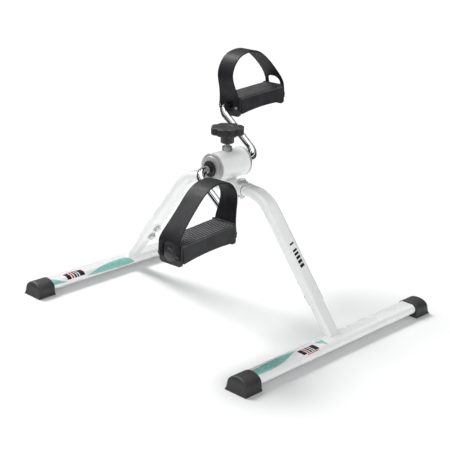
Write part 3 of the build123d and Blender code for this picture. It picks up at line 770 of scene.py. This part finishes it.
# ---------------------------------------------------------------- knob
def knob_rim(angle):
    """The lobed outline's radius, its cusps softened: eight round valleys cut into a circle."""
    rim, valley, valley_middle, turn = 24.4, 4.8, 26.0, math.radians(2.7)
    total = 0.0
    shifts = (-0.05, -0.025, 0.0, 0.025, 0.05)
    for shift in shifts:
        d = (angle + shift + turn + math.pi / 8) % (math.pi / 4) - math.pi / 8
        reach = valley ** 2 - (valley_middle * math.sin(d)) ** 2
        total += min(rim, valley_middle * math.cos(d) - math.sqrt(reach)) if reach > 0 else rim
    return total / len(shifts)


def knob():
    """The lobed head with its dished top, and the collar below it."""
    angles = [2 * math.pi * k / 240 for k in range(240)]
    blend_width, lobeless = 9.0, 24.0

    def ring(radius_of, z):
        return [Vector((radius_of(a) * math.cos(a), radius_of(a) * math.sin(a), z)) for a in angles]

    rings = []
    for r, drop in ((2.0, 0.5), (7.6, 0.5), (8.1, 0.4), (8.4, 0.05), (8.8, 0.0), (9.6, 0.0)):
        rings.append(ring(lambda a, r=r: r, KNOB_TOP - drop))
    for inset, drop in ((12.0, 0.0), (8.5, 0.03), (5.5, 0.1), (3.0, 0.2), (1.5, 0.35), (0.7, 0.55),
                        (0.2, 1.0), (0.0, 1.7)):
        fade = min(1.0, inset / blend_width)
        rings.append(ring(lambda a: knob_rim(a) * (1 - fade) + lobeless * fade - inset, KNOB_TOP - drop))
    for inset, rise in ((0.0, 1.1), (0.3, 0.3), (1.0, 0.0)):
        rings.append(ring(lambda a: knob_rim(a) - inset, KNOB_BASE + rise))
    for r, rise in ((17.0, 0.4), (12.0, 0.3), (10.6, -0.1), (10.0, -1.0)):
        rings.append(ring(lambda a, r=r: r, KNOB_BASE + rise))
    for r, rise in ((10.0, 1.0), (9.6, 0.3), (9.0, 0.0), (4.4, 0.0), (4.0, 0.4)):
        rings.append(ring(lambda a, r=r: r, COLLAR_BASE + rise))
    return rings_mesh(rings)


add_piece("knob_moulding", knob(), KNOB, "knob", ["tension_knob"])


# ---------------------------------------------------------------- crank
ARM_DIR = Vector((0, math.sin(ARM), math.cos(ARM)))


def crank_point(x, along):
    """A point of the crank's plane: across from its middle, and out along the far arm."""
    return Vector((CRANK_OFFSET + x, 0, HUB_HEIGHT)) + ARM_DIR * along


def crank():
    """One bent rod, both arms and both axles, with a small chamfer at each end."""
    half = [(ARM_PLANE + AXLE_LENGTH * math.cos(SPLAY), ARM_LENGTH + AXLE_LENGTH * math.sin(SPLAY)),
            (ARM_PLANE, ARM_LENGTH), (ARM_PLANE, 0)]
    corners = half + [(-x, -y) for x, y in reversed(half)]
    path = fillet_path([crank_point(x, y) for x, y in corners], ROD_BEND, 0.9)
    normal = Vector((1, 0, 0)).cross(ARM_DIR).normalized()
    rings = tube_rings(path, normal, circle(ROD_RADIUS, 48))

    def chamfer(end, point, inner):
        ahead = (inner - point).normalized()
        small = [point + (p - point) * ((ROD_RADIUS - ROD_CHAMFER) / ROD_RADIUS) for p in rings[end]]
        rings[end] = [p + ahead * ROD_CHAMFER for p in rings[end]]
        return small

    first = chamfer(0, path[0], path[1])
    last = chamfer(-1, path[-1], path[-2])
    return rings_mesh([first, *rings, last])


add_piece("crank_polished", crank(), CHROME, "crank", ["crank_rod"])


# ---------------------------------------------------------------- pedals
def pedal_place(side):
    """The pedal's own frame: x outwards along the axle, z up, millimetres."""
    outward = Vector((side * math.cos(SPLAY), 0, 0)) + ARM_DIR * (side * math.sin(SPLAY))
    corner = crank_point(side * ARM_PLANE, side * ARM_LENGTH)
    z = (Vector((0, 0, 1)) - outward * outward.z).normalized()
    return axes(corner, outward, z)


def cubic(t, length, start, start_slope, end, end_slope):
    """The value at share t of a smooth curve between two ends with these slopes."""
    return (start * (2 * t ** 3 - 3 * t ** 2 + 1) + start_slope * length * (t ** 3 - 2 * t ** 2 + t)
            + end * (-2 * t ** 3 + 3 * t ** 2) + end_slope * length * (t ** 3 - t ** 2))


def hermite(x, knots):
    """A smooth curve through (x, value, slope) knots."""
    for (x0, v0, s0), (x1, v1, s1) in zip(knots, knots[1:]):
        if x <= x1 or (x1, v1, s1) == knots[-1]:
            t = min(1.0, max(0.0, (x - x0) / (x1 - x0)))
            return cubic(t, x1 - x0, v0, s0, v1, s1)


def strap_line(bow):
    """The band's middle line as (along, up) points about a millimetre apart, foot to foot.

    A spline runs through the points, straight up at the inner foot and straight down at the outer one."""
    start, end = INNER_FACE - 1.1, OUTER_FACE + 1.1
    crown, outer_foot = 78 + bow * 0.25, 14.5
    points = np.array([(start, 8), (start - 5.2, 33), (start - 8.2, 50), (start - 3.2, 63.5),
                       (start + 10, 75 + bow * 0.1), (start + 27, crown),
                       (start + 46.5, crown - 3.2 + bow * 0.3), (start + 72, 56.5 + bow),
                       (start + 96.3, 34 + bow * 0.8), (end - 2.6, 21 + bow * 0.3), (end, outer_foot)], float)
    chord = np.concatenate([[0], np.cumsum(np.linalg.norm(np.diff(points, axis=0), axis=1))])
    n = len(chord)
    system, right = np.zeros((n, n)), np.zeros((n, 2))
    system[0, 0] = system[-1, -1] = 1.0
    right[0], right[-1] = (0, 1), (0, -1)
    for i in range(1, n - 1):
        a, b = chord[i] - chord[i - 1], chord[i + 1] - chord[i]
        system[i, i - 1], system[i, i], system[i, i + 1] = b, 2 * (a + b), a
        right[i] = 3 * (b * (points[i] - points[i - 1]) / a + a * (points[i + 1] - points[i]) / b)
    slopes = np.linalg.solve(system, right)
    line = [(start, z) for z in (-6, -5, -3, -1, 1, 3, 5, 7)]
    for i in range(n - 1):
        h = chord[i + 1] - chord[i]
        for t in np.arange(0, 1, 1.0 / max(2, round(h / 1.3))):
            line.append(tuple(cubic(t, h, points[i], slopes[i], points[i + 1], slopes[i + 1])))
    line += [(end, z) for z in (outer_foot, 13, 11, 9, 7, 5, 3, 1, -1, -3, -5, -6)]
    return line


# each strap's bow and the height of its outer foot's opening; half the band's width by height
STRAP_SHAPES = {"near": (0.0, 17.5), "far": (8.0, 28.3)}
STRAP_HALF = [(-6.0, 20.2, 0.0), (17.0, 18.4, -0.10), (35.0, 15.9, -0.10), (50.0, 15.0, 0.0),
              (200.0, 15.0, 0.0)]
INNER_OPENING = 11.0


def fork_stations(line, indices, top, drops):
    """Adds stations just at a fork's top, which keep its edge straight; says how many."""
    for i in indices:
        (s0, z0), (s1, z1) = line[i - 1], line[i]
        if (z0 - top) * (z1 - top) < 0:
            extra = []
            for z in (top - drop for drop in drops):
                t = (z - z0) / (z1 - z0)
                if 0 < t < 1:
                    extra.append((s0 + (s1 - s0) * t, z))
            line[i:i] = extra
            return len(extra)
    return 0


def strap(bow, window):
    """The band as one sheet, forked at both feet; window is the height of the outer foot's opening."""
    line = strap_line(bow)
    peak = max(range(len(line)), key=lambda i: line[i][1])
    peak += fork_stations(line, range(1, peak), INNER_OPENING, (0.8, 0.25, 0.0))
    fork_stations(line, range(peak + 1, len(line)), window, (0.0, 0.25, 0.8))
    columns, slit, half_opening = 5, 2.0, 12.0
    arch = half_opening - slit

    def opening(z, top):
        """Half the gap between a foot's two prongs: none above its top, round just under it."""
        if z >= top:
            return None
        if z <= top - arch:
            return half_opening
        return slit + math.sqrt(max(0.0, arch ** 2 - (z - top + arch) ** 2))

    bm = bmesh.new()
    rows = []
    for i, (s, z) in enumerate(line):
        half = hermite(z, STRAP_HALF)
        gap = opening(z, INNER_OPENING if i < peak else window)
        inner = gap if gap is not None else slit
        rail = [inner + (half - inner) * k / columns for k in range(columns + 1)]
        verts = {sign: [bm.verts.new((s, sign * y, z)) for y in rail] for sign in (-1, 1)}
        rows.append((verts, gap))
    for (a, gap_a), (b, gap_b) in zip(rows, rows[1:]):
        for sign in (-1, 1):
            for k in range(columns):
                quad = (a[sign][k], a[sign][k + 1], b[sign][k + 1], b[sign][k])
                bm.faces.new(quad if sign > 0 else quad[::-1])
        if gap_a is None and gap_b is None:
            bm.faces.new((a[-1][0], a[1][0], b[1][0], b[-1][0]))
    return bm


def tread_painted_light_pick(face):
    """1 for a rib's top or the tread's edge, which get a painted highlight; 2 for the floor between ribs,
    which gets painted shade; 0 for the rest of the body.
    """
    height = face.calc_center_median().z
    if face.normal.z < 0.3 or height < 11.0:
        return 0
    return 2 if face.normal.z > 0.9 and height < 14.0 else 1


def axle_dome():
    """The stepped cap over the axle's end: a flange with a smaller dome on it."""
    radius, rise, foot = 8.6, 3.4, 1.5
    profile = [(0.3, foot + rise)]
    for k in range(1, 14):
        a = math.pi / 2 * k / 14
        profile.append((radius * math.sin(a), foot + rise * math.cos(a) ** 0.8))
    profile += [(radius, foot), (8.9, 1.2), (11.3, 1.2), (11.8, 0.9), (11.8, 0.3), (11.6, 0.05), (1.0, 0.05)]
    return lathe(profile, axes((OUTER_FACE, 0, 0), (0, 0, 1), (1, 0, 0)), loop=False)


def strap_rivets():
    """Two low rivets that hold the strap's inner foot."""
    profile = [(0.1, 0.8), (0.8, 0.75), (1.5, 0.55), (2.0, 0.25), (2.25, 0.0), (2.2, -0.3), (0.1, -0.3)]
    seats = [axes((INNER_FACE - 4.5, y, -1.0), (0, 0, 1), (-1, 0, 0)) for y in (-16.8, 16.8)]
    return join(*[lathe(profile, seat, 24, loop=False) for seat in seats])


def pedal(name, side):
    """A ribbed body with two end plates, a strap with its rivets, a cap and the hidden push nut."""
    local = pedal_place(side)
    body = f"pedal_{name}"
    add_piece(f"strap_band_{name}", strap(*STRAP_SHAPES[name]), STRAP, body,
              [f"pedal_strap_{name}"], local=local, solid=2.0, bevel=(0.7, 3, 50))
    refine(f"pedal_body_{name}", f"tread_block_{name}", (PLASTIC, RIB_TOP_PAINTED_HIGHLIGHT, GROOVE_PAINTED_SHADE), body,
           local=local, pick=tread_painted_light_pick)
    for part in ("inner", "outer"):
        refine(f"pedal_{part}_plate_{name}", f"end_plate_{part}_{name}", PLASTIC, body,
               bevel=(0.6, 3, 32), local=local)
    add_piece(f"axle_dome_{name}", axle_dome(), GLOSS, body, [f"pedal_axle_cap_{name}"],
              local=local)
    add_piece(f"strap_rivets_{name}", strap_rivets(), SPRING, body, local=local)
    refine(f"pedal_push_nut_{name}", f"push_ring_{name}", SPRING, "crank", bevel=(0.2, 2, 40))


for name, side in SIDES.items():
    pedal(name, side)


# ---------------------------------------------------------------- printed marks on the floor bars
def on_bar(side, x, v, lift):
    """A point on the bar's surface, v measured round the section from the middle of its top, towards +Y."""
    flat, r = (BAR_WIDTH - BAR_HEIGHT) / 2, BAR_HEIGHT / 2
    a = max(abs(v) - flat, 0.0) / r
    y = math.copysign(min(abs(v), flat) + (r + lift) * math.sin(a), v)
    return Vector((x, side * BAR_SPACING / 2 + y, BAR_MIDDLE + (r + lift) * math.cos(a)))


def film(side, upper, lower, count=48, across=8):
    """A thin printed film between two (x, v) edges that run over the same x."""
    ux, uv = zip(*upper)
    lx, lv = zip(*lower)
    rings = []
    for i in range(count + 1):
        x = ux[0] + (ux[-1] - ux[0]) * i / count
        high, low = float(np.interp(x, ux, uv)), float(np.interp(x, lx, lv))
        line = [low + (high - low) * k / across for k in range(across + 1)]
        under, over = ([on_bar(side, x, v, lift) for v in line] for lift in (0.02, 0.08))
        rings.append(under + over[::-1])
    return rings_mesh(rings)


def mark(name, side, upper, lower, ink, **sizes):
    """A printed film as a piece of its own."""
    add_piece(name, film(side, upper, lower, **sizes), ink, "frame")


mark("print_leaf_front", -1, [(-169, 3.6), (-134, 6.4), (-109, 6.9), (-92, 6.0), (-78, 4.6)],
     [(-169, -9.8), (-143, -10.6), (-130, -9.8), (-117, -7.9), (-102, -3.2), (-90, 1.2), (-78, 4.4)], TEAL)
mark("print_tip_front", -1, [(-42, 3.7), (-26, 3.1)], [(-42, 3.6), (-29, -11.7), (-26, 2.9)], TEAL)
mark("print_tip_rear", 1, [(-169, -1.0), (-163, -6.0), (-154, -14.0), (-142, -18.3)],
     [(-169, -17.0), (-161, -17.8), (-142, -18.5)], TEAL)
mark("print_leaf_rear", 1,
     [(-103, -18.5), (-88, -14.8), (-74, -11.0), (-60, -8.6), (-48, -7.1), (-32, -6.3), (-21, -6.6),
      (-12, -12.5), (-5, -20.6)],
     [(-103, -18.7), (-81, -20.3), (-63, -20.6), (-28, -21.4), (-5, -20.9)], TEAL)

# the start, end and ink of each block along a bar, before the bar's own spread
BLOCKS = ((0.0, 6.5, BLACK_INK_AND_PAINTED_SHADE), (8.0, 10.5, RED_INK), (12.0, 15.0, BLACK_INK_AND_PAINTED_SHADE), (16.4, 18.4, BLACK_INK_AND_PAINTED_SHADE),
          (20.0, 27.5, BLACK_INK_AND_PAINTED_SHADE))


def bar_blocks(bar, start, top, bottom, spread, rule_edge):
    """The row of plain blocks in the lettering's place, with a thin red line beside it."""
    side = BARS[bar]
    for k, (left, right, ink) in enumerate(BLOCKS):
        ends = (start + left * spread, start + right * spread)
        mark(f"print_block_{bar}_{k + 1}", side, [(x, top) for x in ends], [(x, bottom) for x in ends], ink,
             count=10)
    ends = (start + 7.0, start + 30.0)
    mark(f"print_rule_{bar}", side, [(x, rule_edge) for x in ends], [(x, rule_edge - 1.2) for x in ends],
         RED_INK, count=10, across=2)


bar_blocks("front", start=-79.5, top=1.8, bottom=-11.2, spread=1.18, rule_edge=-12.1)
bar_blocks("rear", start=-141.0, top=-1.0, bottom=-16.0, spread=1.25, rule_edge=1.1)


def leg_print(corners):
    """A thin printed patch on the front leg's outer face from its (across, height up the leg) corners."""
    outward = Vector((0, -math.cos(SLANT), math.sin(SLANT)))
    up_leg = Vector((0, math.sin(SLANT), math.cos(SLANT)))
    base = leg_axis(-1, 120.0) + outward * (LEG_DEPTH / 2)
    steps = 8
    sheets = []
    for lift in (0.01, 0.06):
        rim = []
        for (x0, h0), (x1, h1) in zip(corners, corners[1:] + corners[:1]):
            for t in (k / steps for k in range(steps)):
                height = h0 * (1 - t) + h1 * t
                rim.append(base + outward * lift + up_leg * height + Vector((x0 * (1 - t) + x1 * t, 0, 0)))
        sheets.append(rim)
    return rings_mesh(sheets)


# the foot and top of each bar printed on the leg
LEG_MARKS = ((-27.0, -22.5), (-20.5, -16.0), (-14.0, -10.0), (-8.0, -4.5), (-2.5, 0.5), (8.0, 10.5))
for k, (low, high) in enumerate(LEG_MARKS):
    left, right, rise = -4.6, 4.4, 2.5
    add_piece(f"print_leg_{k + 1}",
              leg_print([(left, low), (right, low + rise), (right, high + rise), (left, high)]),
              BLACK_INK_AND_PAINTED_SHADE, "frame")


# ---------------------------------------------------------------- studio
def stage_piece(name, bm, mat):
    """A piece of the studio, in metres, which isn't part of the object."""
    mesh = bpy.data.meshes.new(name)
    bm.to_mesh(mesh)
    bm.free()
    obj = bpy.data.objects.new(name, mesh)
    bpy.context.scene.collection.objects.link(obj)
    mesh.materials.append(mat)
    return obj


def studio_floor():
    """A matt white floor."""
    mat = shader("studio_floor", (0.895, 0.897, 0.9), (0.905, 0.907, 0.91), 1.5, (0.75, 0.85),
                 specular=0.1)[0]
    bm = bmesh.new()
    bmesh.ops.create_grid(bm, x_segments=12, y_segments=12, size=14.0)
    stage_piece("studio_floor", bm, mat)


def sun(name, energy, spread, colour, direction):
    """A sun whose disc is this many degrees wide, shining in this direction."""
    data = bpy.data.lights.new(name, "SUN")
    data.energy = energy
    data.angle = math.radians(spread)
    data.color = colour
    obj = bpy.data.objects.new(name, data)
    bpy.context.scene.collection.objects.link(obj)
    obj.rotation_mode = "QUATERNION"
    obj.rotation_quaternion = Vector(direction).to_track_quat("-Z", "Y")


def card_material(name, dark, light, glow):
    """A matt grey panel that gives off this much light."""
    mat, _, bsdf, _ = shader(name, (dark,) * 3, (light,) * 3, 2.0, (0.95, 1.0), specular=0.0)
    bsdf.inputs["Emission Color"].default_value = (1, 1, 1, 1)
    bsdf.inputs["Emission Strength"].default_value = glow
    return mat


def reflection_only(obj):
    """Leaves a panel to be seen in reflections alone."""
    obj.visible_camera = False
    obj.visible_diffuse = False
    obj.visible_shadow = False
    obj.visible_transmission = False
    obj.visible_volume_scatter = False


def sky_card(name, low, high, mat, radius=6.0):
    """A far band all round, between two elevations in degrees."""
    bm = bmesh.new()
    count = 96
    rows = []
    for elevation in (low, (low + high) / 2, high):
        e = math.radians(elevation)
        row = []
        for k in range(count + 1):
            a = math.radians(360.0 * k / count)
            row.append(bm.verts.new((radius * math.cos(e) * math.cos(a), radius * math.cos(e) * math.sin(a),
                                     0.25 + radius * math.sin(e))))
        rows.append(row)
    for a, b in zip(rows, rows[1:]):
        for k in range(count):
            bm.faces.new((a[k], a[k + 1], b[k + 1], b[k]))
    obj = stage_piece(name, bm, mat)
    reflection_only(obj)
    return obj


def floor_card(inner, outer, mat):
    """A ring just over the floor, seen only in reflections."""
    bm = bmesh.new()
    count = 96
    rows = [[bm.verts.new((x, y, 0.002)) for x, y in circle(r, count)] for r in (inner, outer)]
    for k in range(count):
        after = (k + 1) % count
        bm.faces.new((rows[0][k], rows[0][after], rows[1][after], rows[1][k]))
    reflection_only(stage_piece("card_floor", bm, mat))


def world(colour, strength):
    """An even light from all round."""
    made = bpy.data.worlds.new("studio")
    bpy.context.scene.world = made
    made.use_nodes = True
    background = made.node_tree.nodes["Background"]
    background.inputs["Color"].default_value = (*colour, 1)
    background.inputs["Strength"].default_value = strength


studio_floor()
sun("key", 3.25, 26, (1.0, 0.998, 0.992), (-0.02, -0.90, -1.0))
sun("fill", 1.75, 70, (0.995, 0.998, 1.0), (0.55, 0.80, -0.26))
BLACK_CARD = card_material("card_black", 0.006, 0.010, 0.0)
WHITE_CARD = card_material("card_white", 0.8, 0.84, 0.75)
BACKDROP = card_material("backdrop_white", 0.8, 0.84, 1.1)
sky_card("card_horizon", 1.0, 29.0, BLACK_CARD)
sky_card("card_low_white", 29.5, 37.5, WHITE_CARD)
sky_card("card_band", 38.0, 55.0, BLACK_CARD)
sky_card("card_high_white", 55.5, 84.0, WHITE_CARD)
# the backdrop is the other way about: seen by the camera and not in reflections
backdrop = sky_card("backdrop", -3.0, 89.0, BACKDROP, radius=13.5)
backdrop.visible_camera = True
backdrop.visible_glossy = False
floor_card(0.62, 6.0, BLACK_CARD)
world((0.98, 0.99, 1.0), 0.27)
bpy.context.scene.view_settings.view_transform = "Standard"


# ---------------------------------------------------------------- camera
def camera(place, right, up, forward, lens):
    """The photo's camera: where it stands and its directions, with a 36 mm sensor."""
    data = bpy.data.cameras.new("camera")
    data.lens = lens
    data.sensor_width = 36.0
    obj = bpy.data.objects.new("camera", data)
    bpy.context.scene.collection.objects.link(obj)
    rows = [(right[i], up[i], -forward[i], place[i]) for i in range(3)]
    obj.matrix_world = Matrix((*rows, (0, 0, 0, 1)))
    bpy.context.scene.camera = obj


camera(place=(-1.141375, -1.117347, 0.684838),
       right=(0.70446003, -0.70950629, 0.0183543),
       up=(0.22203024, 0.24486615, 0.9437919),
       forward=(0.67412064, 0.66078846, -0.33003027),
       lens=90.6238)
